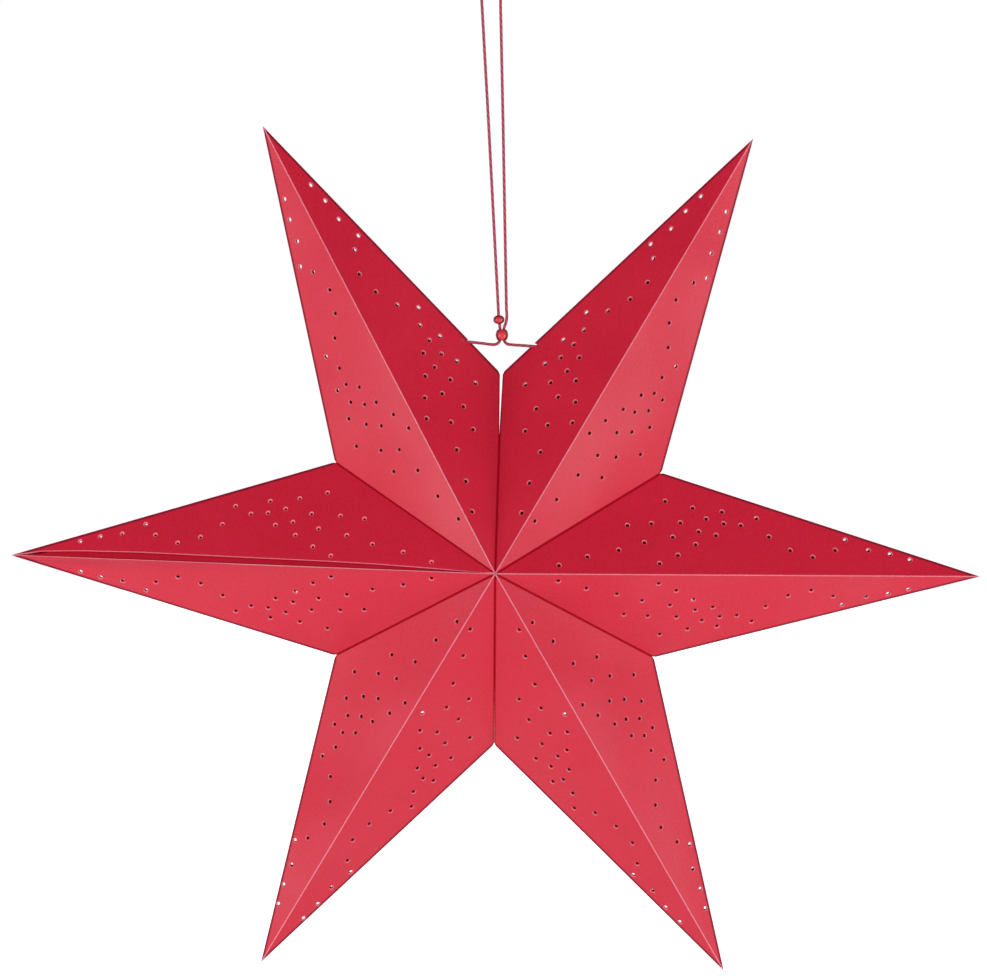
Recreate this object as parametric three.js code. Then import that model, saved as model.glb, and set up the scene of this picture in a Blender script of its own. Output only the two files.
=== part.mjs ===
// Six-pointed folded paper star lantern, hanging from a looped cord.
// Millimetres, +Z up. The front of the star faces -Y. The origin is the place where a hook
// carries the loop of the cord, so everything hangs below it.
import * as THREE from 'three';

// Star, measured from its centre. Its sheets of card were cut to a whole cutStep, and the
// reach of each opened point was read to a readingStep.
const tipReach = 300;
const valleyReach = 116.1;
const halfDepth = 65;
const cutStep = 1;
const readingStep = 0.1;
const fullTurn = 360;
const pointAngle = fullTurn / 6;

// Slit at the top: its width at the valley, and the share of the crease over which it is shut
const slitOpening = 2.2;
const slitShutShare = 0.64;

// Card. The gap between the front and back panels shortens their tips by tipLoss.
const cardThickness = 0.4;
const clearance = 0.3;
const tipLoss = 3.3;
const cornerCut = 1.4;
const flapWidth = 12;

// Perforation of a flat sheet, which is sheetLength from hub to tip along its ridge and
// sheetWidth from the ridge to its valley. The valley is valleyAlong from the hub, along it.
const toStep = (length, step) => Math.round(length / step) * step;
const ridgeLength = Math.hypot(tipReach, halfDepth);
const valleyAcross = valleyReach * Math.cos(THREE.MathUtils.degToRad(pointAngle / 2));
const valleyAlong = (tipReach * valleyAcross + halfDepth ** 2) / ridgeLength;
const sheetLength = toStep(ridgeLength, cutStep);
const sheetWidth = toStep(Math.sqrt(valleyReach ** 2 + halfDepth ** 2 - valleyAlong ** 2), cutStep);
const holeRadius = 1.35;
const holeSides = 5;

// Open seam along the front ridge of the left point, and the glue tab that shows behind it
const seamOpening = 5;
const tabWidth = 12;

// Cord, beads and knots
const cordDiameter = 1.9;
const cordSides = 8;
const cordRadius = cordDiameter / 2;
const crownRadius = 5.8;
const lowerBeadRadius = 3.9;
const lowerBeadHeight = 9.2;
const upperBeadRadius = 3.5;
const upperBeadHeight = 5.8;
const beadSegments = 20;
const beadArcs = 8;
const knotRadius = 2.5;
const bendRadius = 3.8;
const bendLead = 1.2;
const boreFlare = 0.4;
const strandStep = 7.4;

// Places below the hook, and to the right of it
const centreDrop = 353;
const centreShift = 2.7;
const lowerBeadDrop = 213.8;
const lowerBeadShift = 6.9;
const upperBeadDrop = 204.4;
const upperBeadShift = 5;
const strandMidDrop = 83;
const leftMidShift = -1.4;
const rightMidShift = 7.5;
const leftHoleDrop = 218.1;
const leftHoleShift = -13.1;
const rightHoleDrop = 220.8;
const rightHoleShift = 26.9;

// How far the cord reaches past a side crease, and the notch that lets it through
const cordReachInside = 3.4;
const notchHalfWidth = 3.2;
const notchDepth = 3;

// How far each point's tip reaches, as a share of tipReach, where it stands in degrees
// anticlockwise from the right, and where the valleys on its right and on its left stand. The
// star was opened by hand, so they vary. Left and right are as seen from the front, with that
// point turned up.
const points = [
  { name: 'upper_right_point', reachShare: 1.0107, tip: 58.7, right: 27.8, left: 88.1, leftIsSlit: true },
  { name: 'upper_left_point', reachShare: 1.0067, tip: 118, right: 88.1, left: 148.4, rightIsSlit: true },
  { name: 'left_point', reachShare: 0.998, tip: 179.5, right: 148.4, left: 211.1, rightSeamIsOpen: true },
  { name: 'lower_left_point', reachShare: 0.9817, tip: 240, right: 211.1, left: 269.7 },
  { name: 'lower_right_point', reachShare: 0.9927, tip: 298.9, right: 269.7, left: 328.2 },
  { name: 'right_point', reachShare: 1.0027, tip: 358, right: 328.2, left: 387.8 },
];

// Holes of one panel: shares of the sheet's length, then of its width
const holeShares = [
  [0.13, 0.085], [0.19, 0.17], [0.255, 0.235], [0.31, 0.31],
  [0.335, 0.11], [0.375, 0.19], [0.415, 0.295], [0.37, 0.365],
  [0.28, 0.475], [0.33, 0.495], [0.39, 0.505], [0.425, 0.42],
  [0.46, 0.385], [0.445, 0.545], [0.48, 0.5], [0.515, 0.485],
  [0.55, 0.555], [0.42, 0.65], [0.48, 0.615], [0.365, 0.715],
  [0.57, 0.375], [0.61, 0.245], [0.655, 0.18], [0.705, 0.25],
  [0.73, 0.35], [0.775, 0.25], [0.82, 0.215], [0.86, 0.16],
];

// The open seam: share of the way along the ridge, and share of its full opening
const seamShares = [
  [0.03, 0], [0.12, 0.25], [0.24, 0.57], [0.34, 0.71], [0.6, 0.89],
  [0.73, 1], [0.86, 0.88], [0.94, 0.62], [0.975, 0],
];

// Flap ends: shares of the crease for the outer edge and for the free edge
const flapOuterShares = [0.09, 0.87];
const flapInnerShares = [0.17, 0.78];

// Tab ends: shares of the sheet's length, at the ridge and at the free edge
const tabOuterShares = [0.04, 0.955];
const tabInnerShares = [0.12, 0.84];

const finish = (color, roughness) => new THREE.MeshStandardMaterial({ color, roughness, metalness: 0 });
const cardMaterial = () => finish('#cb2c42', 0.6);
const flapMaterial = () => finish('#b4203a', 0.8);
const cordMaterial = () => finish('#b04a60', 0.9);
const beadMaterial = () => finish('#d02030', 0.3);

const lantern = new THREE.Group();
const star = new THREE.Group();
star.position.set(centreShift, 0, -centreDrop);
lantern.add(star);

const up = new THREE.Vector3(0, 0, 1);
const depthAxis = new THREE.Vector3(0, 1, 0);

// A direction in the plane of the star
function outward(degrees) {
  const angle = THREE.MathUtils.degToRad(degrees);
  return new THREE.Vector3(Math.cos(angle), 0, Math.sin(angle));
}

function addMesh(parent, name, geometry, material) {
  const mesh = new THREE.Mesh(geometry, material);
  mesh.name = name;
  parent.add(mesh);
  return mesh;
}

// A flat sheet drawn in its own plane, which starts at origin and runs along alongEdge.
// It fills the thickness between the two offsets on its normal.
function addSheet(parent, name, shape, origin, alongEdge, acrossEdge, near, far, material) {
  const normal = new THREE.Vector3().crossVectors(alongEdge, acrossEdge);
  const geometry = new THREE.ExtrudeGeometry(shape, { depth: far - near, steps: 1, bevelEnabled: false });
  geometry.translate(0, 0, near);
  const mesh = addMesh(parent, name, geometry, material);
  const basis = new THREE.Matrix4().makeBasis(alongEdge, acrossEdge, normal);
  mesh.quaternion.setFromRotationMatrix(basis);
  mesh.position.copy(origin);
  return mesh;
}

// Lines in a sheet's plane, as a point and a direction
function crossing(a, b) {
  const turn = a.direction.x * b.direction.y - a.direction.y * b.direction.x;
  const apart = new THREE.Vector2().subVectors(b.start, a.start);
  const share = (apart.x * b.direction.y - apart.y * b.direction.x) / turn;
  return a.start.clone().addScaledVector(a.direction, share);
}

// How far a sheet's edge stays back from the plane that it shares with its neighbour, when
// its inner face lies at this depth below the plane it is drawn in
function edgeSetback(inPlane, inwardNormal, planeNormal, depth) {
  const dip = Math.min(0, depth * inwardNormal.dot(planeNormal));
  return (clearance / 2 - dip) / inPlane.dot(planeNormal);
}

function addPoint(point) {
  const group = new THREE.Group();
  star.add(group);
  const slitTurn = THREE.MathUtils.radToDeg(Math.atan2(slitOpening / 2, valleyReach));
  for (const face of ['front', 'back']) {
    for (const side of ['left', 'right']) {
      const atSlit = side === 'left' ? point.leftIsSlit : point.rightIsSlit;
      const towardsTip = side === 'left' ? -1 : 1;
      const valleyAngle = point[side] + (atSlit ? towardsTip * slitTurn : 0);
      addPanelAndFlap(group, point, face, side, valleyAngle, atSlit);
    }
  }
}

function addPanelAndFlap(group, point, face, side, valleyAngle, atSlit) {
  const faceSign = face === 'front' ? -1 : 1;
  const sideSign = side === 'left' ? 1 : -1;
  const centre = new THREE.Vector3(0, faceSign * halfDepth, 0);
  const reach = toStep(point.reachShare * tipReach, readingStep);
  const tip = outward(point.tip).multiplyScalar(reach + tipLoss);
  const valley = outward(valleyAngle).multiplyScalar(valleyReach);

  // The panel's own axes: along the ridge, and across it towards the valley
  const ridge = new THREE.Vector3().subVectors(tip, centre);
  const crease = new THREE.Vector3().subVectors(valley, centre);
  const along = ridge.clone().normalize();
  const across = crease.clone().addScaledVector(along, -crease.dot(along)).normalize();
  const normal = new THREE.Vector3().crossVectors(along, across);
  const outer = Math.sign(normal.y * faceSign);
  const inwardNormal = normal.clone().multiplyScalar(-outer);
  const flat = (v) => new THREE.Vector2(v.dot(along), v.dot(across));

  // Its three edges, each set back from the plane it shares with its neighbour
  const ridgePlane = outward(point.tip + sideSign * fullTurn / 4);
  const valleyPlane = outward(valleyAngle - sideSign * fullTurn / 4);
  const middlePlane = depthAxis.clone().multiplyScalar(faceSign);
  const tipFlat = flat(ridge);
  const valleyFlat = flat(crease);
  const hub = new THREE.Vector2(0, 0);
  const edgeOf = (start, way, plane) => {
    const direction = way.normalize();
    const inward = new THREE.Vector2(-direction.y, direction.x);
    const inPlane = along.clone().multiplyScalar(inward.x).addScaledVector(across, inward.y);
    const setback = edgeSetback(inPlane, inwardNormal, plane, cardThickness);
    return { start: start.clone().addScaledVector(inward, setback), direction, inward };
  };
  const ridgeEdge = edgeOf(hub, tipFlat.clone(), ridgePlane);
  const sideEdge = edgeOf(tipFlat, valleyFlat.clone().sub(tipFlat), middlePlane);
  const valleyEdge = edgeOf(valleyFlat, valleyFlat.clone().negate(), valleyPlane);

  // Next to the hub a slit is shut, so there the edge lies along the plane between the points
  const shutPlane = outward(point[side] - sideSign * fullTurn / 4);
  const shutWay = new THREE.Vector2(across.dot(shutPlane), -along.dot(shutPlane));
  const hubEdge = atSlit ? edgeOf(hub, shutWay, shutPlane) : valleyEdge;

  const hubCorner = crossing(hubEdge, ridgeEdge);
  const tipCorner = crossing(ridgeEdge, sideEdge);
  const valleyCorner = crossing(sideEdge, valleyEdge);
  const outline = [hubCorner];
  if (face === 'front' && side === 'right' && point.rightSeamIsOpen) {
    const depth = clearance + 2 * cardThickness;
    const start = edgeSetback(across, inwardNormal, ridgePlane, depth);
    addSeamTab(group, `${point.name}_seam_tab`, centre, along, across, start, -outer);
    for (const [alongShare, openShare] of seamShares) {
      const place = ridgeEdge.start.clone().addScaledVector(ridgeEdge.direction, alongShare * tipFlat.x);
      outline.push(place.addScaledVector(ridgeEdge.inward, openShare * seamOpening));
    }
  }
  outline.push(tipCorner);
  if (atSlit) {
    outline.push(...cordNotch(side, sideEdge, flat, centre));
  }
  outline.push(valleyCorner.clone().addScaledVector(sideEdge.direction, -cornerCut));
  outline.push(valleyCorner.clone().addScaledVector(valleyEdge.direction, cornerCut));
  if (atSlit) {
    outline.push(hubEdge.start.clone().addScaledVector(hubEdge.direction, -slitShutShare * crease.length()));
  }

  const shape = new THREE.Shape(outline);
  for (const [lengthShare, widthShare] of holeShares) {
    shape.holes.push(roundHole(new THREE.Vector2(lengthShare * sheetLength, widthShare * sheetWidth)));
  }
  const near = outer > 0 ? -cardThickness : 0;
  const name = `${point.name}_${face}_${side}`;
  addSheet(group, `${name}_panel`, shape, centre, along, across, near, near + cardThickness, cardMaterial());

  if (!atSlit) {
    addFlap(group, `${name}_flap`, centre, crease, faceSign, valleyPlane);
  }
}

// One perforation, cut right through the card
function roundHole(middle) {
  const rim = [];
  for (let i = 0; i < holeSides; i += 1) {
    const angle = 2 * Math.PI * i / holeSides;
    rim.push(new THREE.Vector2(Math.cos(angle), Math.sin(angle)).multiplyScalar(holeRadius).add(middle));
  }
  return new THREE.Path(rim);
}

// The notch in a side crease beside the slit, where the cord goes into the point
function cordNotch(side, sideEdge, flat, centre) {
  const drop = side === 'left' ? rightHoleDrop : leftHoleDrop;
  const shift = side === 'left' ? rightHoleShift : leftHoleShift;
  const hole = new THREE.Vector3(shift - centreShift, 0, centreDrop - drop).sub(centre);
  const place = flat(hole);
  const along = new THREE.Vector2().subVectors(place, sideEdge.start).dot(sideEdge.direction);
  const mouth = sideEdge.start.clone().addScaledVector(sideEdge.direction, along);
  const at = (step, depth) => mouth.clone()
    .addScaledVector(sideEdge.direction, step)
    .addScaledVector(sideEdge.inward, depth);
  return [
    at(-notchHalfWidth, 0),
    at(-notchHalfWidth / 2, notchDepth),
    at(notchHalfWidth / 2, notchDepth),
    at(notchHalfWidth, 0),
  ];
}

// A glue flap, folded in along a valley and lying in the plane between two points
function addFlap(group, name, centre, crease, faceSign, ownSide) {
  const along = crease.clone().normalize();
  const inward = depthAxis.clone().multiplyScalar(-faceSign);
  const across = inward.addScaledVector(along, -inward.dot(along)).normalize();
  const normal = new THREE.Vector3().crossVectors(along, across);
  const nearEdge = clearance + cardThickness;
  const length = crease.length();
  const outline = [
    new THREE.Vector2(flapOuterShares[0] * length, nearEdge),
    new THREE.Vector2(flapOuterShares[1] * length, nearEdge),
    new THREE.Vector2(flapInnerShares[1] * length, flapWidth),
    new THREE.Vector2(flapInnerShares[0] * length, flapWidth),
  ];
  const own = Math.sign(normal.dot(ownSide));
  const near = own > 0 ? clearance / 2 : -clearance / 2 - cardThickness;
  const shape = new THREE.Shape(outline);
  addSheet(group, name, shape, centre, along, across, near, near + cardThickness, flapMaterial());
}

// The glue tab of the open seam: a strip of the lower panel's sheet, folded back along the
// ridge so that it lies behind the upper panel. inside is the sign of the way in.
function addSeamTab(group, name, centre, along, across, start, inside) {
  const outline = [
    new THREE.Vector2(tabOuterShares[0] * sheetLength, start),
    new THREE.Vector2(tabOuterShares[1] * sheetLength, start),
    new THREE.Vector2(tabInnerShares[1] * sheetLength, tabWidth),
    new THREE.Vector2(tabInnerShares[0] * sheetLength, tabWidth),
  ];
  const shape = new THREE.Shape(outline);
  const middle = inside * (clearance + 3 * cardThickness / 2);
  const near = middle - cardThickness / 2;
  addSheet(group, name, shape, centre, along, across, near, near + cardThickness, flapMaterial());
}

// A route whose rings stand at its own stations, closer together where it bends
class StationRoute extends THREE.CatmullRomCurve3 {
  getPointAt(share, target) {
    return this.getPoint(share, target);
  }

  getTangentAt(share, target) {
    return this.getTangent(share, target);
  }

  getSpacedPoints(count) {
    return this.getPoints(count);
  }
}

const place = (shift, drop) => new THREE.Vector3(shift, 0, -drop);

// Stations from a to b, without a itself
function run(a, b, step) {
  const count = Math.max(1, Math.round(a.distanceTo(b) / step));
  const stations = [];
  for (let i = 1; i <= count; i += 1) {
    stations.push(a.clone().lerp(b, i / count));
  }
  return stations;
}

// Half the length of a bead's bore, for the radius that the bore has at its ends
function boreHalf(radius, height, bore) {
  return height / 2 * Math.sqrt(1 - (bore / radius) ** 2);
}

// Half of the cord: from the crown of the loop down one strand, through the lower bead and
// out to its hole. sign is -1 on the left and 1 on the right.
const crownDrop = crownRadius - cordRadius;
const strandGap = cordRadius + clearance / 2;
const boreRadius = strandGap + cordRadius + clearance;
const lowerBoreHalf = boreHalf(lowerBeadRadius, lowerBeadHeight, boreRadius + boreFlare);

function halfRoute(sign, midShift, besideUpper, hole) {
  const shoulder = place(sign * crownRadius, crownDrop);
  const middle = place(midShift, strandMidDrop);
  const beside = place(besideUpper, upperBeadDrop);
  const boreTop = place(lowerBeadShift + sign * strandGap, lowerBeadDrop - lowerBoreHalf);
  const bendTop = place(boreTop.x, lowerBeadDrop + lowerBoreHalf - bendLead);
  const stations = [shoulder, ...run(shoulder, middle, strandStep), ...run(middle, beside, strandStep)];
  stations.push(boreTop, place(boreTop.x, lowerBeadDrop), bendTop);
  for (const bend of [22, 45, 68, 90]) {
    const angle = THREE.MathUtils.degToRad(bend);
    const sideways = sign * bendRadius * (1 - Math.cos(angle));
    stations.push(place(bendTop.x + sideways, bendRadius * Math.sin(angle) - bendTop.z));
  }
  const last = stations[stations.length - 1];
  stations.push(...run(last, hole, strandStep));
  const heading = new THREE.Vector3().subVectors(hole, last).normalize();
  stations.push(hole.clone().addScaledVector(heading, cordReachInside));
  return { stations, heading };
}

const leftHalf = halfRoute(-1, leftMidShift, upperBeadShift, place(leftHoleShift, leftHoleDrop));
const rightBeside = upperBeadShift + upperBeadRadius + clearance + cordRadius;
const rightHalf = halfRoute(1, rightMidShift, rightBeside, place(rightHoleShift, rightHoleDrop));

// The crown of the loop, over the hook
const crown = [];
for (const turn of [150, 120, 90, 60, 30]) {
  const angle = THREE.MathUtils.degToRad(turn);
  crown.push(place(crownRadius * Math.cos(angle), crownDrop - crownRadius * Math.sin(angle)));
}
const stations = [...leftHalf.stations.reverse(), ...crown, ...rightHalf.stations];
const route = new StationRoute(stations);

const section = new THREE.Shape();
for (let i = 0; i < cordSides; i += 1) {
  const angle = 2 * Math.PI * (i + 0.5) / cordSides;
  const corner = new THREE.Vector2(Math.cos(angle), Math.sin(angle)).multiplyScalar(cordRadius);
  if (i === 0) {
    section.moveTo(corner.x, corner.y);
  } else {
    section.lineTo(corner.x, corner.y);
  }
}
const cordGeometry = new THREE.ExtrudeGeometry(section, { steps: stations.length - 1, extrudePath: route });
addMesh(lantern, 'hanging_cord', cordGeometry, cordMaterial());

// A round bead with a bore from top to bottom, wider at its ends by the flare
function beadGeometry(radius, height, bore, flare) {
  const half = boreHalf(radius, height, bore + flare);
  const rimAngle = Math.atan2(2 * half / height, (bore + flare) / radius);
  const profile = [];
  for (let i = 0; i <= beadArcs; i += 1) {
    const angle = rimAngle * (2 * i / beadArcs - 1);
    profile.push(new THREE.Vector2(radius * Math.cos(angle), height / 2 * Math.sin(angle)));
  }
  profile.push(new THREE.Vector2(bore, half - bendLead), new THREE.Vector2(bore, bendLead - half));
  profile.push(profile[0].clone());
  const geometry = new THREE.LatheGeometry(profile, beadSegments);
  geometry.rotateX(Math.PI / 2);
  return geometry;
}

const lowerBead = addMesh(
  lantern,
  'lower_bead',
  beadGeometry(lowerBeadRadius, lowerBeadHeight, boreRadius, boreFlare),
  beadMaterial(),
);
lowerBead.position.copy(place(lowerBeadShift, lowerBeadDrop));

const upperBeadPlace = place(upperBeadShift, upperBeadDrop);
const strandUp = new THREE.Vector3().subVectors(place(leftMidShift, strandMidDrop), upperBeadPlace);
const upperBead = addMesh(
  lantern,
  'upper_bead',
  beadGeometry(upperBeadRadius, upperBeadHeight, cordRadius + clearance, boreFlare),
  beadMaterial(),
);
upperBead.position.copy(upperBeadPlace);
upperBead.quaternion.setFromUnitVectors(up, strandUp.normalize());

// Stop knots at both ends of the cord, inside the two points beside the slit
function addKnot(name, hole, heading) {
  const knot = addMesh(lantern, name, new THREE.IcosahedronGeometry(knotRadius, 1), cordMaterial());
  knot.position.copy(hole).addScaledVector(heading, cordReachInside + clearance + knotRadius);
}

addKnot('left_stop_knot', place(leftHoleShift, leftHoleDrop), leftHalf.heading);
addKnot('right_stop_knot', place(rightHoleShift, rightHoleDrop), rightHalf.heading);

for (const point of points) {
  addPoint(point);
}

export default lantern;
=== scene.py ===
import math

import bmesh
import bpy
from mathutils import Matrix, Vector


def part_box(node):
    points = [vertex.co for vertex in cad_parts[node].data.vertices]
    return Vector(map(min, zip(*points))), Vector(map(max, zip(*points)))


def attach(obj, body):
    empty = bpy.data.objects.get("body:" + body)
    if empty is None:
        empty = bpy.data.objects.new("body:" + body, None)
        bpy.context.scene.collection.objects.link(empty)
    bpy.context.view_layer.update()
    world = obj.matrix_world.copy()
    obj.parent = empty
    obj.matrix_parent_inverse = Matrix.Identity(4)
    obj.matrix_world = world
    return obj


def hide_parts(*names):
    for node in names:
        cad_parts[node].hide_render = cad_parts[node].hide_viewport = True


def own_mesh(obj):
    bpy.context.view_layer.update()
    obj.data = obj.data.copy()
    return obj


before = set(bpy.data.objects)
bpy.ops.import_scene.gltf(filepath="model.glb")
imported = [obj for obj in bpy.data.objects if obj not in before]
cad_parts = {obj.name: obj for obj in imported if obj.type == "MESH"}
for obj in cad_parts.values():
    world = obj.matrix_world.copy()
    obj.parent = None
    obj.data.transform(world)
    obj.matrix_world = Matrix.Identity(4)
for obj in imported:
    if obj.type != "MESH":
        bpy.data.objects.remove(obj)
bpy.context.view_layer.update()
rootBody = "upper_right_point_on_cord"

# camera, at the photograph's angle
view = {
    "size": (987, 976),       # pixels of the photograph
    "aim": (0.0017, 0, -0.3083),
    "distance": 1.7,
    "elevation": 5.9,         # degrees above the star's middle
    "pixelsPerMetre": 1618.3, # at the distance of the star
    "sensorWidth": 36,        # millimetres
}


def placeCamera():
    elevation = math.radians(view["elevation"])
    aim = Vector(view["aim"])
    lookingDown = Vector((0, math.cos(elevation), -math.sin(elevation)))
    camera = bpy.data.objects.new("camera", bpy.data.cameras.new("camera"))
    camera.data.sensor_fit = "HORIZONTAL"
    camera.data.sensor_width = view["sensorWidth"]
    widthInMetres = view["size"][0] / view["pixelsPerMetre"]
    camera.data.lens = view["distance"] / widthInMetres * view["sensorWidth"]
    camera.location = aim - lookingDown * view["distance"]
    camera.rotation_euler = lookingDown.to_track_quat("-Z", "Y").to_euler()
    bpy.context.collection.objects.link(camera)
    bpy.context.scene.camera = camera


placeCamera()
print("camera placed")


# small helpers
def colour(hexCode):
    # sRGB hex to the linear values that shaders take
    parts = [int(hexCode[i:i + 2], 16) / 255 for i in (1, 3, 5)]
    return [p / 12.92 if p <= 0.04045 else ((p + 0.055) / 1.055) ** 2.4 for p in parts] + [1.0]


def addNode(material, kind, settings=None, values=None, links=None):
    node = material.node_tree.nodes.new(kind)
    for name, value in (settings or {}).items():
        setattr(node, name, value)
    for name, value in (values or {}).items():
        node.inputs[name].default_value = value
    for name, source in (links or {}).items():
        material.node_tree.links.new(source, node.inputs[name])
    return node


def newMaterial(name):
    material = bpy.data.materials.new(name)
    material.use_nodes = True
    material.node_tree.nodes.clear()
    return material


def finishMaterial(material, shader):
    addNode(material, "ShaderNodeOutputMaterial", links={"Surface": shader.outputs[0]})
    return material


def addPiece(name, mesh, body, materials, nodes):
    piece = bpy.data.objects.new(name, mesh)
    bpy.context.collection.objects.link(piece)
    for material in materials:
        mesh.materials.append(material)
    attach(piece, body)
    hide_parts(*nodes)
    return piece


def meshFrom(bm, name):
    mesh = bpy.data.meshes.new(name)
    bm.to_mesh(mesh)
    bm.free()
    return mesh


# hanging cord, which follows the same stations as its solid
cordSettings = {
    "diameter": 0.0019,
    "gap": 0.0003,            # between the strands in the lower bead
    "crownRadius": 0.0058,
    "crownTurns": (150, 120, 90, 60, 30),
    "bendRadius": 0.0038,
    "bendLead": 0.0012,       # the bend starts this far inside the lower bead's bore
    "bendTurns": (22, 45, 68, 90),
    "strandStep": 0.0074,
    "midDrop": 0.083,         # below the hook, as every drop here
    "midShift": {-1: -0.0014, 1: 0.0075},  # -1 is the left strand, and 1 the right one
    "notch": {-1: (-0.0131, -0.2181), 1: (0.0269, -0.2208)},
    "reachInside": 0.0034,    # past the notch
    "length": 0.4945,
    # painted shade in the grooves between the plies
    "grooveShade": "#93263f",
    "ply": "#cf5570",
    "plies": 3,
    "plyPitch": 0.0034,       # one ply's full turn
    "ribDepth": 0.0003,
    "ribStrength": 0.9,
    "ribTop": 0.1,            # the wave across the plies, from -1 to 1, is cut flat here
}
beads = {
    "lower": {"drop": 0.2138, "shift": 0.0069, "radius": 0.0039, "height": 0.0092,
              "bore": 0.00235},
    "upper": {"drop": 0.2044, "shift": 0.005, "radius": 0.0035, "height": 0.0058,
              "bore": 0.00125},
    "flare": 0.0004,          # of each bore at its ends
    "boreTurns": (70, 45, 20, 0, -20, -45, -70),
    "arcs": 8,                # of the outside, from its middle to a lip
    "segments": 40,
    "mergeWithin": 1e-6,
    "tint": "#ff2e40",
    "flowTint": "#ff505e",
    # painted shade towards the bead's rim
    "rimShade": "#5a0010",
    "rimStart": 0.16,
    "rimEnd": 0.46,
    "rimShadeStrength": 0.92,
    "flowWidth": 0.003846,    # flow lines in the plastic
    "clearness": 0.2,
    "roughness": 0.14,
}


def cordMaterial(name, length):
    # Twisted viscose cord: three plies that show as slanting ribs, with a dull silky sheen, and the
    # grooves between them painted darker as shade
    m = newMaterial(name)
    along = addNode(m, "ShaderNodeTexCoord")
    split = addNode(m, "ShaderNodeSeparateXYZ", links={"Vector": along.outputs["UV"]})
    turns = addNode(m, "ShaderNodeMath", {"operation": "MULTIPLY"},
                    {1: round(length / cordSettings["plyPitch"])}, {0: split.outputs["X"]})
    slant = addNode(m, "ShaderNodeMath", {"operation": "MULTIPLY_ADD"}, {1: cordSettings["plies"]},
                    {0: split.outputs["Y"], 2: turns.outputs["Value"]})
    circle = addNode(m, "ShaderNodeMath", {"operation": "MULTIPLY"}, {1: 2 * math.pi},
                     {0: slant.outputs["Value"]})
    wave = addNode(m, "ShaderNodeMath", {"operation": "SINE"}, links={0: circle.outputs["Value"]})
    height = addNode(m, "ShaderNodeMapRange", None,
                     {"From Min": -1.0, "From Max": cordSettings["ribTop"]},
                     {"Value": wave.outputs["Value"]})
    # painted shade: the grooves between the plies are darker
    tint = addNode(m, "ShaderNodeMix", {"data_type": "RGBA"},
                   {"A": colour(cordSettings["grooveShade"]), "B": colour(cordSettings["ply"])},
                   {"Factor": height.outputs["Result"]})
    ribs = addNode(m, "ShaderNodeBump", None,
                   {"Strength": cordSettings["ribStrength"], "Distance": cordSettings["ribDepth"]},
                   {"Height": height.outputs["Result"]})
    shader = addNode(m, "ShaderNodeBsdfPrincipled", None,
                     {"Roughness": 0.7, "Sheen Weight": 0.25, "Sheen Roughness": 0.4},
                     {"Base Color": tint.outputs["Result"], "Normal": ribs.outputs["Normal"]})
    return finishMaterial(m, shader)


def beadMaterial():
    # Moulded acrylic bead: clear red with a hard gloss and faint flow lines, and a painted shade
    # that darkens it towards the rim, where its surface turns away from the view
    m = newMaterial("mouldedAcrylic")
    place = addNode(m, "ShaderNodeTexCoord")
    flow = addNode(m, "ShaderNodeTexNoise", None,
                   {"Scale": 1 / beads["flowWidth"], "Detail": 2.0},
                   {"Vector": place.outputs["Object"]})
    tint = addNode(m, "ShaderNodeMix", {"data_type": "RGBA"},
                   {"A": colour(beads["tint"]), "B": colour(beads["flowTint"])},
                   {"Factor": flow.outputs["Fac"]})
    # painted shade: darker towards the rim, where the surface turns away from the view
    rim = addNode(m, "ShaderNodeLayerWeight", None, {"Blend": 0.5})
    deep = addNode(m, "ShaderNodeMapRange", None,
                   {"From Min": beads["rimStart"], "From Max": beads["rimEnd"],
                    "To Max": beads["rimShadeStrength"]},
                   {"Value": rim.outputs["Facing"]})
    rimShaded = addNode(m, "ShaderNodeMix", {"data_type": "RGBA"}, {"B": colour(beads["rimShade"])},
                     {"A": tint.outputs["Result"], "Factor": deep.outputs["Result"]})
    shader = addNode(m, "ShaderNodeBsdfPrincipled", None,
                     {"Roughness": beads["roughness"], "IOR": 1.49,
                      "Transmission Weight": beads["clearness"]},
                     {"Base Color": rimShaded.outputs["Result"]})
    return finishMaterial(m, shader)


def boreHalf(bead):
    mouthShare = (bead["bore"] + beads["flare"]) / bead["radius"]
    return bead["height"] / 2 * math.sqrt(1 - mouthShare ** 2)


def run(start, end):
    count = max(1, round((end - start).length / cordSettings["strandStep"]))
    return [start.lerp(end, i / count) for i in range(1, count + 1)]


def halfRoute(sign):
    # from the shoulder of the loop down one strand, through the lower bead and into its point
    low, high = beads["lower"], beads["upper"]
    radius, gap = cordSettings["diameter"] / 2, cordSettings["gap"]
    strandX = low["shift"] + sign * (radius + gap / 2)
    besideX = high["shift"] if sign < 0 else high["shift"] + high["radius"] + gap + radius
    shoulder = Vector((sign * cordSettings["crownRadius"], 0, radius - cordSettings["crownRadius"]))
    middle = Vector((cordSettings["midShift"][sign], 0, -cordSettings["midDrop"]))
    beside = Vector((besideX, 0, -high["drop"]))
    boreTop = Vector((strandX, 0, boreHalf(low) - low["drop"]))
    boreMiddle = Vector((strandX, 0, -low["drop"]))
    bendTop = Vector((strandX, 0, cordSettings["bendLead"] - boreHalf(low) - low["drop"]))
    points = [shoulder] + run(shoulder, middle) + run(middle, beside)
    points += [boreTop, boreMiddle, bendTop]
    for angle in map(math.radians, cordSettings["bendTurns"]):
        turned = Vector((sign * (1 - math.cos(angle)), 0, -math.sin(angle)))
        points.append(bendTop + cordSettings["bendRadius"] * turned)
    notch = Vector((cordSettings["notch"][sign][0], 0, cordSettings["notch"][sign][1]))
    heading = (notch - points[-1]).normalized()
    points += run(points[-1], notch)
    points.append(notch + heading * cordSettings["reachInside"])
    return points, heading


def crownRoute():
    radius = cordSettings["crownRadius"]
    centre = Vector((0, 0, cordSettings["diameter"] / 2 - radius))
    angles = [math.radians(turn) for turn in cordSettings["crownTurns"]]
    return [centre + radius * Vector((math.cos(a), 0, math.sin(a))) for a in angles]


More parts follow.
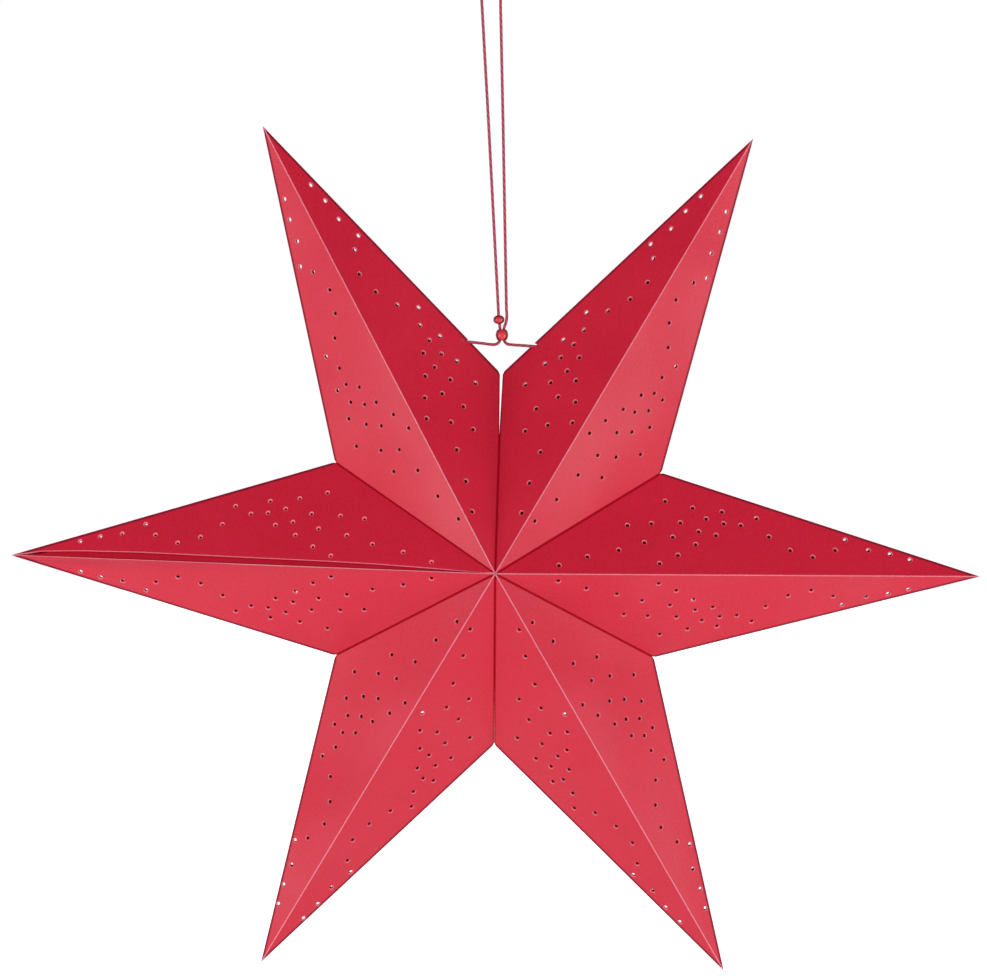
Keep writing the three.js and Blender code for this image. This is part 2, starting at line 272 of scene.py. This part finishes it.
def tube(name, points, radius, closed=False):
    data = bpy.data.curves.new(name, "CURVE")
    data.dimensions = "3D"
    data.resolution_u = 4
    data.bevel_depth = radius
    data.bevel_resolution = 3
    data.use_fill_caps = not closed
    spline = data.splines.new("BEZIER")
    spline.bezier_points.add(len(points) - 1)
    spline.use_cyclic_u = closed
    for place, point in zip(points, spline.bezier_points):
        point.co = place
        point.handle_left_type = point.handle_right_type = "AUTO"
    return data


knot = {
    "stations": 24,
    "depth": 2.8,             # along the cord, where the trefoil reaches 3 across it
    "tightness": 0.96,        # of the cord's thickness
    "overlap": 0.0009,        # over the cord's end
}


def knotPiece(name, node, heading):
    # An overhand knot: the cord's own trefoil, pulled tight
    low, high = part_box(node)
    centre = (Vector(low) + Vector(high)) / 2 - heading * knot["overlap"]
    reach = (high[0] - low[0]) / 2 - cordSettings["diameter"] / 2
    turnTo = heading.to_track_quat("Z", "Y").to_matrix()
    points = []
    for i in range(knot["stations"]):
        t = 2 * math.pi * i / knot["stations"]
        trefoil = Vector((math.sin(t) + 2 * math.sin(2 * t), math.cos(t) - 2 * math.cos(2 * t),
                          -knot["depth"] * math.sin(3 * t)))
        points.append(centre + turnTo @ (trefoil * reach / 3))
    around = sum((b - a).length for a, b in zip(points, points[1:] + points[:1]))
    data = tube(name, points, cordSettings["diameter"] / 2 * knot["tightness"], closed=True)
    return addPiece(name, data, rootBody, [cordMaterial(name + "Cord", around)], [node])


leftHalf, leftHeading = halfRoute(-1)
rightHalf, rightHeading = halfRoute(1)
cordPoints = leftHalf[::-1] + crownRoute() + rightHalf
cordPiece = addPiece("hangingCord", tube("hangingCord", cordPoints, cordSettings["diameter"] / 2),
                     rootBody, [cordMaterial("twistedCord", cordSettings["length"])],
                     ["hanging_cord"])
leftKnot = knotPiece("leftStopKnot", "left_stop_knot", leftHeading)
rightKnot = knotPiece("rightStopKnot", "right_stop_knot", rightHeading)
print("cord and knots laid")


# beads
def beadPiece(name, body, node, bead, way):
    # A turned profile, outside and flared bore, with its axis laid along the way of the cord
    half = boreHalf(bead)
    flare, arcs = beads["flare"], beads["arcs"]
    lip = math.atan2(2 * half / bead["height"], (bead["bore"] + flare) / bead["radius"])
    profile = []
    for i in range(2 * arcs + 1):
        angle = lip * (i / arcs - 1)
        profile.append(Vector((bead["radius"] * math.cos(angle), 0,
                               bead["height"] / 2 * math.sin(angle))))
    for angle in map(math.radians, beads["boreTurns"]):
        profile.append(Vector((bead["bore"] + flare * (1 - math.cos(angle)), 0,
                               half * math.sin(angle))))
    bm = bmesh.new()
    corners = [bm.verts.new(place) for place in profile]
    ring = [bm.edges.new((a, b)) for a, b in zip(corners, corners[1:] + corners[:1])]
    bmesh.ops.spin(bm, geom=corners + ring, cent=(0, 0, 0), axis=(0, 0, 1), angle=2 * math.pi,
                   steps=beads["segments"], use_merge=True)
    bmesh.ops.remove_doubles(bm, verts=bm.verts[:], dist=beads["mergeWithin"])
    bmesh.ops.recalc_face_normals(bm, faces=bm.faces[:])
    tilt = way.to_track_quat("Z", "Y").to_matrix().to_4x4()
    place = Matrix.Translation((bead["shift"], 0, -bead["drop"])) @ tilt
    bmesh.ops.transform(bm, matrix=place, verts=bm.verts[:])
    for face in bm.faces:
        face.smooth = True
    return addPiece(name, meshFrom(bm, name), body, [acrylic], [node])


acrylic = beadMaterial()
strandUp = Vector((cordSettings["midShift"][-1] - beads["upper"]["shift"], 0,
                   beads["upper"]["drop"] - cordSettings["midDrop"]))
lowerBead = beadPiece("lowerBead", "lower_bead", "lower_bead", beads["lower"],
                      Vector((0, 0, 1)))
upperBead = beadPiece("upperBead", "upper_bead", "upper_bead", beads["upper"], strandUp)
print("beads threaded")

# card
cardLook = {
    "dye": "#e60c3a",
    "dyeDeep": "#d80830",
    "pebbleHighlight": "#ee204a",     # painted highlight, on top of the pebbles
    "topFade": (0.1, 0.6),    # from a pebble's middle
    "topHighlightStrength": 0.5,
    # pale ridge line: partly dye rubbed off, partly a painted highlight
    "worn": "#ff92a3",
    # painted shade: the colour of the valleys and the slit's edges
    "crease": "#b20018",
    # painted shade along the side creases
    "side": "#66142c",
    "core": "#ff9cab",        # undyed core, seen in each hole
    "coreStained": "#ff8092",
    "coreFibre": 0.0004,      # fibres' spacing in the core
    "grainWidth": 0.0011,     # embossed pebbles
    "grainDepth": 0.0002,
    "grainStrength": 0.35,
    "fibresPerPebble": 0.6,
    "blotchWidth": 0.022,
    "buckleWidth": 0.1,
    "buckleDepth": 0.022,
    "buckleStrength": 0.5,
    "wornHighlightWidth": 0.00045,
    "wornHighlightShares": (0.4, 1.2), # of the line's width: its least, and how much the fibres add
    "wornHighlightFade": (0.6, 1.3),   # shares of the width that the worn and highlighted line has there
    "wornHighlightStrength": 0.85,
    "creaseShadeFade": (0.00036, 0.00117),  # painted valley shade: where it fades, from the crease
    "creaseShadeStrength": 0.9,
    "sideShadeFade": (0.0008, 0.00224),  # painted side-crease shade: where it fades, from the side's edge
    "sideShadeStrength": 0.75,
    "gloss": 0.5,
    "soak": 0.0012,           # how far light spreads in the card
    "soakRadius": (1.0, 0.12, 0.1),  # share of it for red, green and blue
    "soakWeight": 0.3,
    "roughness": 0.42,
    "cutRoughness": 0.85,
}


def cardMaterial():
    # Dyed card with an embossed leather grain, as cover paper has: small soft pebbles, a faint
    # gloss, and red light that soaks through. The pebbles' tops carry a painted highlight, the
    # ridges a pale line that is partly rubbed-off dye and partly a painted highlight, and the
    # valleys and side creases a painted shade.
    look = cardLook
    m = newMaterial("embossedDyedCard")
    flat = addNode(m, "ShaderNodeUVMap", {"uv_map": "flat"})
    ridge = addNode(m, "ShaderNodeSeparateXYZ", links={"Vector": flat.outputs["UV"]})
    rims = addNode(m, "ShaderNodeUVMap", {"uv_map": "rims"})
    rim = addNode(m, "ShaderNodeSeparateXYZ", links={"Vector": rims.outputs["UV"]})
    place = addNode(m, "ShaderNodeTexCoord")
    pebbles = addNode(m, "ShaderNodeTexVoronoi", {"feature": "SMOOTH_F1"},
                      {"Scale": 1 / look["grainWidth"], "Smoothness": 0.6},
                      {"Vector": place.outputs["Object"]})
    fibres = addNode(m, "ShaderNodeTexNoise", None,
                     {"Scale": look["fibresPerPebble"] / look["grainWidth"], "Detail": 3.0,
                      "Roughness": 0.6},
                     {"Vector": place.outputs["Object"]})
    blotches = addNode(m, "ShaderNodeTexNoise", None,
                       {"Scale": 1 / look["blotchWidth"], "Detail": 4.0, "Roughness": 0.65},
                       {"Vector": place.outputs["Object"]})
    dye = addNode(m, "ShaderNodeMix", {"data_type": "RGBA"},
                  {"A": colour(look["dye"]), "B": colour(look["dyeDeep"])},
                  {"Factor": blotches.outputs["Fac"]})
    # painted highlight on the tops of the pebbles
    topHighlight = addNode(m, "ShaderNodeMapRange", None,
                   {"From Min": look["topFade"][0], "From Max": look["topFade"][1],
                    "To Min": look["topHighlightStrength"], "To Max": 0.0},
                   {"Value": pebbles.outputs["Distance"]})
    grainHighlighted = addNode(m, "ShaderNodeMix", {"data_type": "RGBA"}, {"B": colour(look["pebbleHighlight"])},
                      {"A": dye.outputs["Result"], "Factor": topHighlight.outputs["Result"]})
    # painted shade in the creases: deep red in the valleys, darker and softer along the sides
    valley = addNode(m, "ShaderNodeMapRange", {"interpolation_type": "SMOOTHSTEP"},
                     {"From Min": look["creaseShadeFade"][0], "From Max": look["creaseShadeFade"][1],
                      "To Min": look["creaseShadeStrength"], "To Max": 0.0},
                     {"Value": rim.outputs["X"]})
    sideShade = addNode(m, "ShaderNodeMapRange", {"interpolation_type": "SMOOTHSTEP"},
                    {"From Min": look["sideShadeFade"][0], "From Max": look["sideShadeFade"][1],
                     "To Min": look["sideShadeStrength"], "To Max": 0.0},
                    {"Value": rim.outputs["Y"]})
    creaseShaded = addNode(m, "ShaderNodeMix", {"data_type": "RGBA"}, {"B": colour(look["crease"])},
                     {"A": grainHighlighted.outputs["Result"], "Factor": valley.outputs["Result"]})
    sideShaded = addNode(m, "ShaderNodeMix", {"data_type": "RGBA"}, {"B": colour(look["side"])},
                    {"A": creaseShaded.outputs["Result"], "Factor": sideShade.outputs["Result"]})
    # the broken surface in a crease has lost its gloss
    creased = addNode(m, "ShaderNodeMath", {"operation": "MAXIMUM"},
                      links={0: valley.outputs["Result"], 1: sideShade.outputs["Result"]})
    gloss = addNode(m, "ShaderNodeMapRange", None, {"To Min": look["gloss"], "To Max": 0.0},
                    {"Value": creased.outputs["Value"]})
    # pale, uneven line along the ridge: partly worn dye, partly a painted highlight
    least, added = look["wornHighlightShares"]
    uneven = addNode(m, "ShaderNodeMath", {"operation": "MULTIPLY_ADD"},
                     {1: look["wornHighlightWidth"] * added, 2: look["wornHighlightWidth"] * least},
                     {0: fibres.outputs["Fac"]})
    nearRidge = addNode(m, "ShaderNodeMath", {"operation": "DIVIDE"},
                        links={0: ridge.outputs["Y"], 1: uneven.outputs["Value"]})
    worn = addNode(m, "ShaderNodeMapRange", {"interpolation_type": "SMOOTHSTEP"},
                   {"From Min": look["wornHighlightFade"][0], "From Max": look["wornHighlightFade"][1],
                    "To Min": look["wornHighlightStrength"], "To Max": 0.0},
                   {"Value": nearRidge.outputs["Value"]})
    surface = addNode(m, "ShaderNodeMix", {"data_type": "RGBA"}, {"B": colour(look["worn"])},
                      {"A": sideShaded.outputs["Result"], "Factor": worn.outputs["Result"]})
    buckles = addNode(m, "ShaderNodeTexNoise", None,
                      {"Scale": 1 / look["buckleWidth"], "Detail": 1.0},
                      {"Vector": place.outputs["Object"]})
    bent = addNode(m, "ShaderNodeBump", None,
                   {"Strength": look["buckleStrength"], "Distance": look["buckleDepth"]},
                   {"Height": buckles.outputs["Fac"]})
    embossed = addNode(m, "ShaderNodeBump", {"invert": True},
                       {"Strength": look["grainStrength"], "Distance": look["grainDepth"]},
                       {"Height": pebbles.outputs["Distance"], "Normal": bent.outputs["Normal"]})
    shader = addNode(m, "ShaderNodeBsdfPrincipled", None,
                     {"Roughness": look["roughness"], "IOR": 1.45,
                      "Subsurface Weight": look["soakWeight"],
                      "Subsurface Radius": look["soakRadius"], "Subsurface Scale": look["soak"]},
                     {"Base Color": surface.outputs["Result"],
                      "Normal": embossed.outputs["Normal"],
                      "Specular IOR Level": gloss.outputs["Result"]})
    return finishMaterial(m, shader)


def cutEdgeMaterial():
    # Torn card in the holes: the paler core shows, fibrous and without gloss
    look = cardLook
    m = newMaterial("cutCardCore")
    place = addNode(m, "ShaderNodeTexCoord")
    fibres = addNode(m, "ShaderNodeTexNoise", None,
                     {"Scale": 1 / look["coreFibre"], "Detail": 2.0},
                     {"Vector": place.outputs["Object"]})
    core = addNode(m, "ShaderNodeMix", {"data_type": "RGBA"},
                   {"A": colour(look["core"]), "B": colour(look["coreStained"])},
                   {"Factor": fibres.outputs["Fac"]})
    shader = addNode(m, "ShaderNodeBsdfPrincipled", None,
                     {"Roughness": look["cutRoughness"], "Specular IOR Level": 0.0},
                     {"Base Color": core.outputs["Result"]})
    return finishMaterial(m, shader)


# star points, each one creased sheet of card
star = {
    "centre": (0.0027, 0, -0.353),
    "valleyReach": 0.1161,
    "halfDepth": 0.065,
    "card": 0.0004,
    "slitOpening": 0.0017,
    "slitShutShare": 0.64,    # of the crease, from the hub
    "foldGap": 0.00003,       # keeps each sheet off the plane between two points
    "hubSetback": 0.0004,
    "cornerCut": 0.0014,
    "flapWidth": 0.012,
    "flapEnds": (0.17, 0.78), # of the crease, at the flap's free edge
    "flapShadeDistance": 0.0008,       # takes the painted valley shade that the card has this far from a valley
    "farAway": 1,             # from any crease, for the faces that show none
    "notchSpare": 0.00015,    # round the cord
    "notchDepth": 0.0021,
    "notchTaper": 0.6,
    "seamOpening": 0.005,
    "sheetLength": 0.307,
    "sheetWidth": 0.072,
    "holeRadius": 0.00165,
    "holeSides": 14,
    "punched": ((0.00033, 0.8), (0.001, 0.76)),  # depth and share of the radius, down the lip
    "tabWidth": 0.012,
    "tabStart": 0.0009,
    "tabDepth": 0.0007,       # behind the plane of its panel
    "tabEnds": ((0.04, 0.955), (0.12, 0.84)),  # shares of the length: at the ridge, at the edge
    "joinWithin": 2e-5,
    "levelNormal": 0.99,      # of a face that lies in the panel's plane
}
# reach of each point's tip, then its tip, right valley and left valley, in degrees
# anticlockwise from the right
starPoints = {
    "upper_right_point": (0.3032, 58.7, 27.8, 88.1),
    "upper_left_point": (0.302, 118, 88.1, 148.4),
    "left_point": (0.2994, 179.5, 148.4, 211.1),
    "lower_left_point": (0.2945, 240, 211.1, 269.7),
    "lower_right_point": (0.2978, 298.9, 269.7, 328.2),
    "right_point": (0.3008, 358, 328.2, 387.8),
}
slitSides = {"upper_right_point": "left", "upper_left_point": "right"}
openSeam = ("left_point", "front", "right")
# shares of the sheet's length, then of its width
holeShares = [
    (0.13, 0.085), (0.19, 0.17), (0.255, 0.235), (0.31, 0.31),
    (0.335, 0.11), (0.375, 0.19), (0.415, 0.295), (0.37, 0.365),
    (0.28, 0.475), (0.33, 0.495), (0.39, 0.505), (0.425, 0.42),
    (0.46, 0.385), (0.445, 0.545), (0.48, 0.5), (0.515, 0.485),
    (0.55, 0.555), (0.42, 0.65), (0.48, 0.615), (0.365, 0.715),
    (0.57, 0.375), (0.61, 0.245), (0.655, 0.18), (0.705, 0.25),
    (0.73, 0.35), (0.775, 0.25), (0.82, 0.215), (0.86, 0.16),
]
# the open seam: share of the way along the ridge, and share of its full opening
seamShares = [(0.03, 0), (0.12, 0.25), (0.24, 0.57), (0.34, 0.71), (0.6, 0.89),
              (0.73, 1), (0.86, 0.88), (0.94, 0.62), (0.985, 0)]
starCentre = Vector(star["centre"])


def outward(degrees):
    angle = math.radians(degrees)
    return Vector((math.cos(angle), 0, math.sin(angle)))


def seamWidth(share):
    for (a, low), (b, high) in zip(seamShares, seamShares[1:]):
        if a <= share <= b:
            opened = low + (high - low) * (share - a) / (b - a)
            return star["seamOpening"] * opened + star["card"]
    return 0


def perforate(bm, inside):
    # the rings are cut before the sheet is filled, and the torn lip of each hole follows
    rings = []
    for alongShare, acrossShare in holeShares:
        middle = Vector((alongShare * star["sheetLength"], acrossShare * star["sheetWidth"], 0))
        ring = bmesh.ops.create_circle(bm, cap_ends=False, segments=star["holeSides"],
                                       radius=star["holeRadius"],
                                       matrix=Matrix.Translation(middle))
        rings.append((middle, ring["verts"]))
    bmesh.ops.triangle_fill(bm, use_beauty=True, use_dissolve=False, edges=bm.edges[:],
                            normal=(0, 0, 1))
    for middle, verts in rings:
        around = [e for e in {e for v in verts for e in v.link_edges} if len(e.link_faces) == 1]
        deep, wide = 0, 1
        for depth, share in star["punched"]:
            grown = bmesh.ops.extrude_edge_only(bm, edges=around)["geom"]
            lip = [g for g in grown if isinstance(g, bmesh.types.BMVert)]
            bmesh.ops.translate(bm, vec=(0, 0, inside * (depth - deep)), verts=lip)
            bmesh.ops.scale(bm, vec=(share / wide, share / wide, 1),
                            space=Matrix.Translation(-middle), verts=lip)
            around = [g for g in grown
                      if isinstance(g, bmesh.types.BMEdge) and set(g.verts) <= set(lip)]
            deep, wide = depth, share
            for g in grown:
                if isinstance(g, bmesh.types.BMFace):
                    g.material_index = 1


def cordNotch(mouth, sideWay, sideIn, slope, heading):
    # slanted as the cord goes in; slope is how much the panel faces the front
    lean = heading.dot(sideWay)
    steepness = math.sqrt(1 - lean ** 2)
    half = (cordSettings["diameter"] / 2 + star["notchSpare"]) / steepness
    shift = sideWay * (star["notchDepth"] * slope * lean / steepness)
    inner = mouth + sideIn * star["notchDepth"] + shift
    return [mouth + sideWay * half, inner + sideWay * half * star["notchTaper"],
            inner - sideWay * half * star["notchTaper"], mouth - sideWay * half]


def seamTab(bm, inside):
    # the lower panel's glue tab, folded back along the ridge behind the open seam
    ends, freeEnds = star["tabEnds"]
    start, free = star["tabStart"], star["tabWidth"]
    places = [(ends[0], start), (ends[1], start), (freeEnds[1], free), (freeEnds[0], free)]
    corners = [bm.verts.new((share * star["sheetLength"], y, inside * star["tabDepth"]))
               for share, y in places]
    return bmesh.ops.contextual_create(bm, geom=corners)["faces"]


def glueFlap(bm, foldEdge, crease, inwards, axes, hubIn):
    # the flap is the same sheet, folded in along the valley
    grown = bmesh.ops.extrude_edge_only(bm, edges=[foldEdge])["geom"]
    creaseLine = crease.normalized()
    down = (inwards - creaseLine * inwards.dot(creaseLine)).normalized()
    ends = sorted((g for g in grown if isinstance(g, bmesh.types.BMVert)),
                  key=lambda v: v.co.length)
    for vert, share in zip(ends, star["flapEnds"]):
        target = crease * share + down * star["flapWidth"]
        vert.co = Vector([target.dot(axis) for axis in axes]) + hubIn
    return [g for g in grown if isinstance(g, bmesh.types.BMFace)]


def offLine(co, line):
    start, way = line
    return abs((co - start).cross(way).z)


def layMaps(bm, flaps, seamLength, valleyLines, sideLine):
    # "flat" is the place along the ridge and the distance to it, "rims" the distances to the
    # valley and to the side crease, in metres
    flatMap = bm.loops.layers.uv.new("flat")
    rimMap = bm.loops.layers.uv.new("rims")
    for face in bm.faces:
        for loop in face.loops:
            co = loop.vert.co
            if face in flaps:
                loop[flatMap].uv = (co.x, star["farAway"])
                # flaps and the seam's tab get part of the painted valley shade
                loop[rimMap].uv = (star["flapShadeDistance"], star["farAway"])
            else:
                opening = seamWidth(co.x / seamLength) if seamLength else 0
                toValley = min(offLine(co, line) for line in valleyLines)
                loop[flatMap].uv = (co.x, max(0, abs(co.y) - opening))
                loop[rimMap].uv = (toValley, offLine(co, sideLine))


def panel(pointName, face, side):
    # One flat panel, drawn in its own plane: x along the ridge, y across it
    reach, tipAngle, rightAngle, leftAngle = starPoints[pointName]
    atSlit = slitSides.get(pointName) == side
    seamIsOpen = (pointName, face, side) == openSeam
    towardsTip = -1 if side == "left" else 1
    boundary = leftAngle if side == "left" else rightAngle
    slitTurn = math.degrees(math.atan2(star["slitOpening"] / 2, star["valleyReach"]))
    creaseAngle = boundary + (towardsTip * slitTurn if atSlit else 0)
    faceSign = -1 if face == "front" else 1
    centre = Vector((0, faceSign * star["halfDepth"], 0))
    ridge = outward(tipAngle) * reach - centre
    crease = outward(creaseAngle) * star["valleyReach"] - centre
    along = ridge.normalized()
    across = (crease - along * crease.dot(along)).normalized()
    normal = along.cross(across)
    outer = 1 if normal.y * faceSign > 0 else -1

    def flat(v):
        return Vector((v.dot(along), v.dot(across), 0))

    tip, valley = flat(ridge), flat(crease)
    sideWay = (tip - valley).normalized()
    sideIn = Vector((sideWay.y, -sideWay.x, 0))
    sideIn *= 1 if sideIn.dot(valley) < 0 else -1
    # the edge at the hub lies along the plane between two points
    ownSide = outward(boundary + towardsTip * 90)
    hubWay = Vector((-across.dot(ownSide), along.dot(ownSide), 0)).normalized()
    hubIn = Vector((hubWay.y, -hubWay.x, 0)) * star["foldGap"]
    outline = [hubWay * star["hubSetback"] + hubIn]
    if seamIsOpen:
        outline += [Vector((tip.x * share, star["seamOpening"] * opened + star["card"], 0))
                    for share, opened in seamShares]
    else:
        outline.append(Vector((star["hubSetback"], 0, 0)))
    outline.append(tip)
    valleyLines = [(hubIn, hubWay if atSlit else valley.normalized())]
    if atSlit:
        strand = 1 if side == "left" else -1
        notchX, notchZ = cordSettings["notch"][strand]
        notch = flat(Vector((notchX, 0, notchZ)) - starCentre - centre)
        mouth = valley + sideWay * (notch - valley).dot(sideWay)
        heading = flat(rightHeading if strand > 0 else leftHeading)
        outline += cordNotch(mouth, sideWay, sideIn, abs(normal.y), heading)
    outline.append(valley + sideWay * star["cornerCut"])
    outline.append(valley - valley.normalized() * star["cornerCut"] + hubIn)
    if atSlit:
        shut = hubWay * crease.length * star["slitShutShare"] + hubIn
        valleyLines.append((shut, (valley - shut).normalized()))
        outline.append(shut)

    bm = bmesh.new()
    corners = [bm.verts.new(place) for place in outline]
    for a, b in zip(corners, corners[1:] + corners[:1]):
        bm.edges.new((a, b))
    perforate(bm, -outer)
    flaps = []
    if seamIsOpen:
        flaps += seamTab(bm, -outer)
    if not atSlit:
        foldEdge = next(e for e in corners[0].link_edges
                        if e.other_vert(corners[0]) is corners[-1])
        inwards = Vector((0, -faceSign, 0))
        flaps += glueFlap(bm, foldEdge, crease, inwards, (along, across, normal), hubIn)
    layMaps(bm, flaps, tip.x if seamIsOpen else 0, valleyLines, (valley, sideWay))
    bmesh.ops.recalc_face_normals(bm, faces=bm.faces[:])
    level = [f for f in bm.faces if abs(f.normal.z) > star["levelNormal"]]
    if max(level, key=lambda f: f.calc_area()).normal.z * outer < 0:
        bmesh.ops.reverse_faces(bm, faces=bm.faces[:])
    turn = Matrix((along, across, normal)).transposed().to_4x4()
    bmesh.ops.transform(bm, matrix=Matrix.Translation(starCentre + centre) @ turn,
                        verts=bm.verts[:])
    return bm


def pointPiece(pointName, materials):
    whole = bmesh.new()
    for face in ("front", "back"):
        for side in ("left", "right"):
            part = meshFrom(panel(pointName, face, side), "part")
            whole.from_mesh(part)
            bpy.data.meshes.remove(part)
    bmesh.ops.remove_doubles(whole, verts=whole.verts[:], dist=star["joinWithin"])
    first, *others = pointName.split("_")
    name = first + "".join(word.capitalize() for word in others) + "Card"
    nodes = [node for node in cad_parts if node.startswith(pointName + "_")]
    body = rootBody if pointName == "upper_right_point" else pointName
    piece = addPiece(name, meshFrom(whole, name), body, materials, nodes)
    sheetDepth = piece.modifiers.new("cardThickness", "SOLIDIFY")
    sheetDepth.thickness = star["card"]
    sheetDepth.offset = -1    # all of it inside the faces that show
    sheetDepth.use_even_offset = True
    sheetDepth.thickness_clamp = 1.0
    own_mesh(piece)


cardMaterials = [cardMaterial(), cutEdgeMaterial()]
for pointName in starPoints:
    pointPiece(pointName, cardMaterials)
    print("creaseShaded", pointName)

# studio: white sweep, soft light from low in front
studio = {
    "floorDrop": 1.5,
    "floorSize": 8,
    "floorPaint": "#e9e7e5",
    "floorGlow": 0.9,         # for the camera; the light on the floor adds the rest
    "surround": "#ffffff",
    "fromAbove": 0.5,
    "fromBelow": 1.32,
    "softHeight": 0.7,        # where the light from above and from below is full
    "ceiling": 0.0,           # dim above, as the faces that look up mirror it
    "ceilingStart": 0.25,
    "ceilingFull": 0.5,
    "sidePower": 7.5,
    "sideWidth": 0.7,
    "sidePlace": (1.45, -0.85, -0.7),
}


def backgroundRays(tree):
    # camera, glossy and transmission rays see the plain background
    rays = addNode(tree, "ShaderNodeLightPath")
    direct = addNode(tree, "ShaderNodeMath", {"operation": "MAXIMUM"},
                     links={0: rays.outputs["Is Camera Ray"], 1: rays.outputs["Is Glossy Ray"]})
    plain = addNode(tree, "ShaderNodeMath", {"operation": "MAXIMUM"},
                    links={0: direct.outputs["Value"],
                           1: rays.outputs["Is Transmission Ray"]})
    return plain.outputs["Value"]


def floorMaterial():
    # Matt painted sweep, which keeps the star's shadow
    m = newMaterial("paintedSweep")
    glow = addNode(m, "ShaderNodeMath", {"operation": "MULTIPLY"}, {1: studio["floorGlow"]},
                   {0: backgroundRays(m)})
    matt = addNode(m, "ShaderNodeBsdfDiffuse", None, {"Color": colour(studio["floorPaint"])})
    white = addNode(m, "ShaderNodeEmission", None, {"Color": colour(studio["surround"])},
                    {"Strength": glow.outputs["Value"]})
    both = addNode(m, "ShaderNodeAddShader", links={0: matt.outputs[0], 1: white.outputs[0]})
    return finishMaterial(m, both)


def stageFloor():
    bm = bmesh.new()
    bmesh.ops.create_grid(bm, x_segments=1, y_segments=1, size=studio["floorSize"])
    bmesh.ops.translate(bm, vec=(0, 0, -studio["floorDrop"]), verts=bm.verts[:])
    floor = bpy.data.objects.new("floor", meshFrom(bm, "floor"))
    bpy.context.collection.objects.link(floor)
    floor.data.materials.append(floorMaterial())


def studioWorld():
    world = bpy.data.worlds.new("studio")
    bpy.context.scene.world = world
    world.use_nodes = True
    world.node_tree.nodes.clear()
    rays = addNode(world, "ShaderNodeLightPath")
    heading = addNode(world, "ShaderNodeTexCoord")
    height = addNode(world, "ShaderNodeSeparateXYZ",
                     links={"Vector": heading.outputs["Generated"]})
    soft = addNode(world, "ShaderNodeMapRange", None,
                   {"From Min": -studio["softHeight"], "From Max": studio["softHeight"],
                    "To Min": studio["fromBelow"], "To Max": studio["fromAbove"]},
                   {"Value": height.outputs["Z"]})
    # white all round for the rays that show the background, but for the mirrored ceiling
    dimming = addNode(world, "ShaderNodeMapRange", None,
                      {"From Min": studio["ceilingStart"], "From Max": studio["ceilingFull"],
                       "To Min": 0.0, "To Max": studio["ceiling"] - 1},
                      {"Value": height.outputs["Z"]})
    white = addNode(world, "ShaderNodeMath", {"operation": "MULTIPLY_ADD"}, {2: 1.0},
                    {0: dimming.outputs["Result"], 1: rays.outputs["Is Glossy Ray"]})
    strength = addNode(world, "ShaderNodeMix", {"data_type": "FLOAT"}, None,
                       {"Factor": backgroundRays(world), "A": soft.outputs["Result"],
                        "B": white.outputs["Value"]})
    sky = addNode(world, "ShaderNodeBackground", None, {"Color": colour(studio["surround"])},
                  {"Strength": strength.outputs["Result"]})
    addNode(world, "ShaderNodeOutputWorld", links={"Surface": sky.outputs[0]})


def softLamp(name, place):
    lamp = bpy.data.lights.new(name, "AREA")
    lamp.shape = "DISK"
    lamp.size = studio["sideWidth"]
    lamp.energy = studio["sidePower"]
    holder = bpy.data.objects.new(name, lamp)
    holder.location = place
    holder.rotation_euler = (starCentre - Vector(place)).to_track_quat("-Z", "Y").to_euler()
    bpy.context.collection.objects.link(holder)


stageFloor()
studioWorld()
x, y, z = studio["sidePlace"]
softLamp("rightLamp", (x, y, z))
softLamp("leftLamp", (-x, y, z))
bpy.context.scene.view_settings.view_transform = "Standard"
print("studio lit")
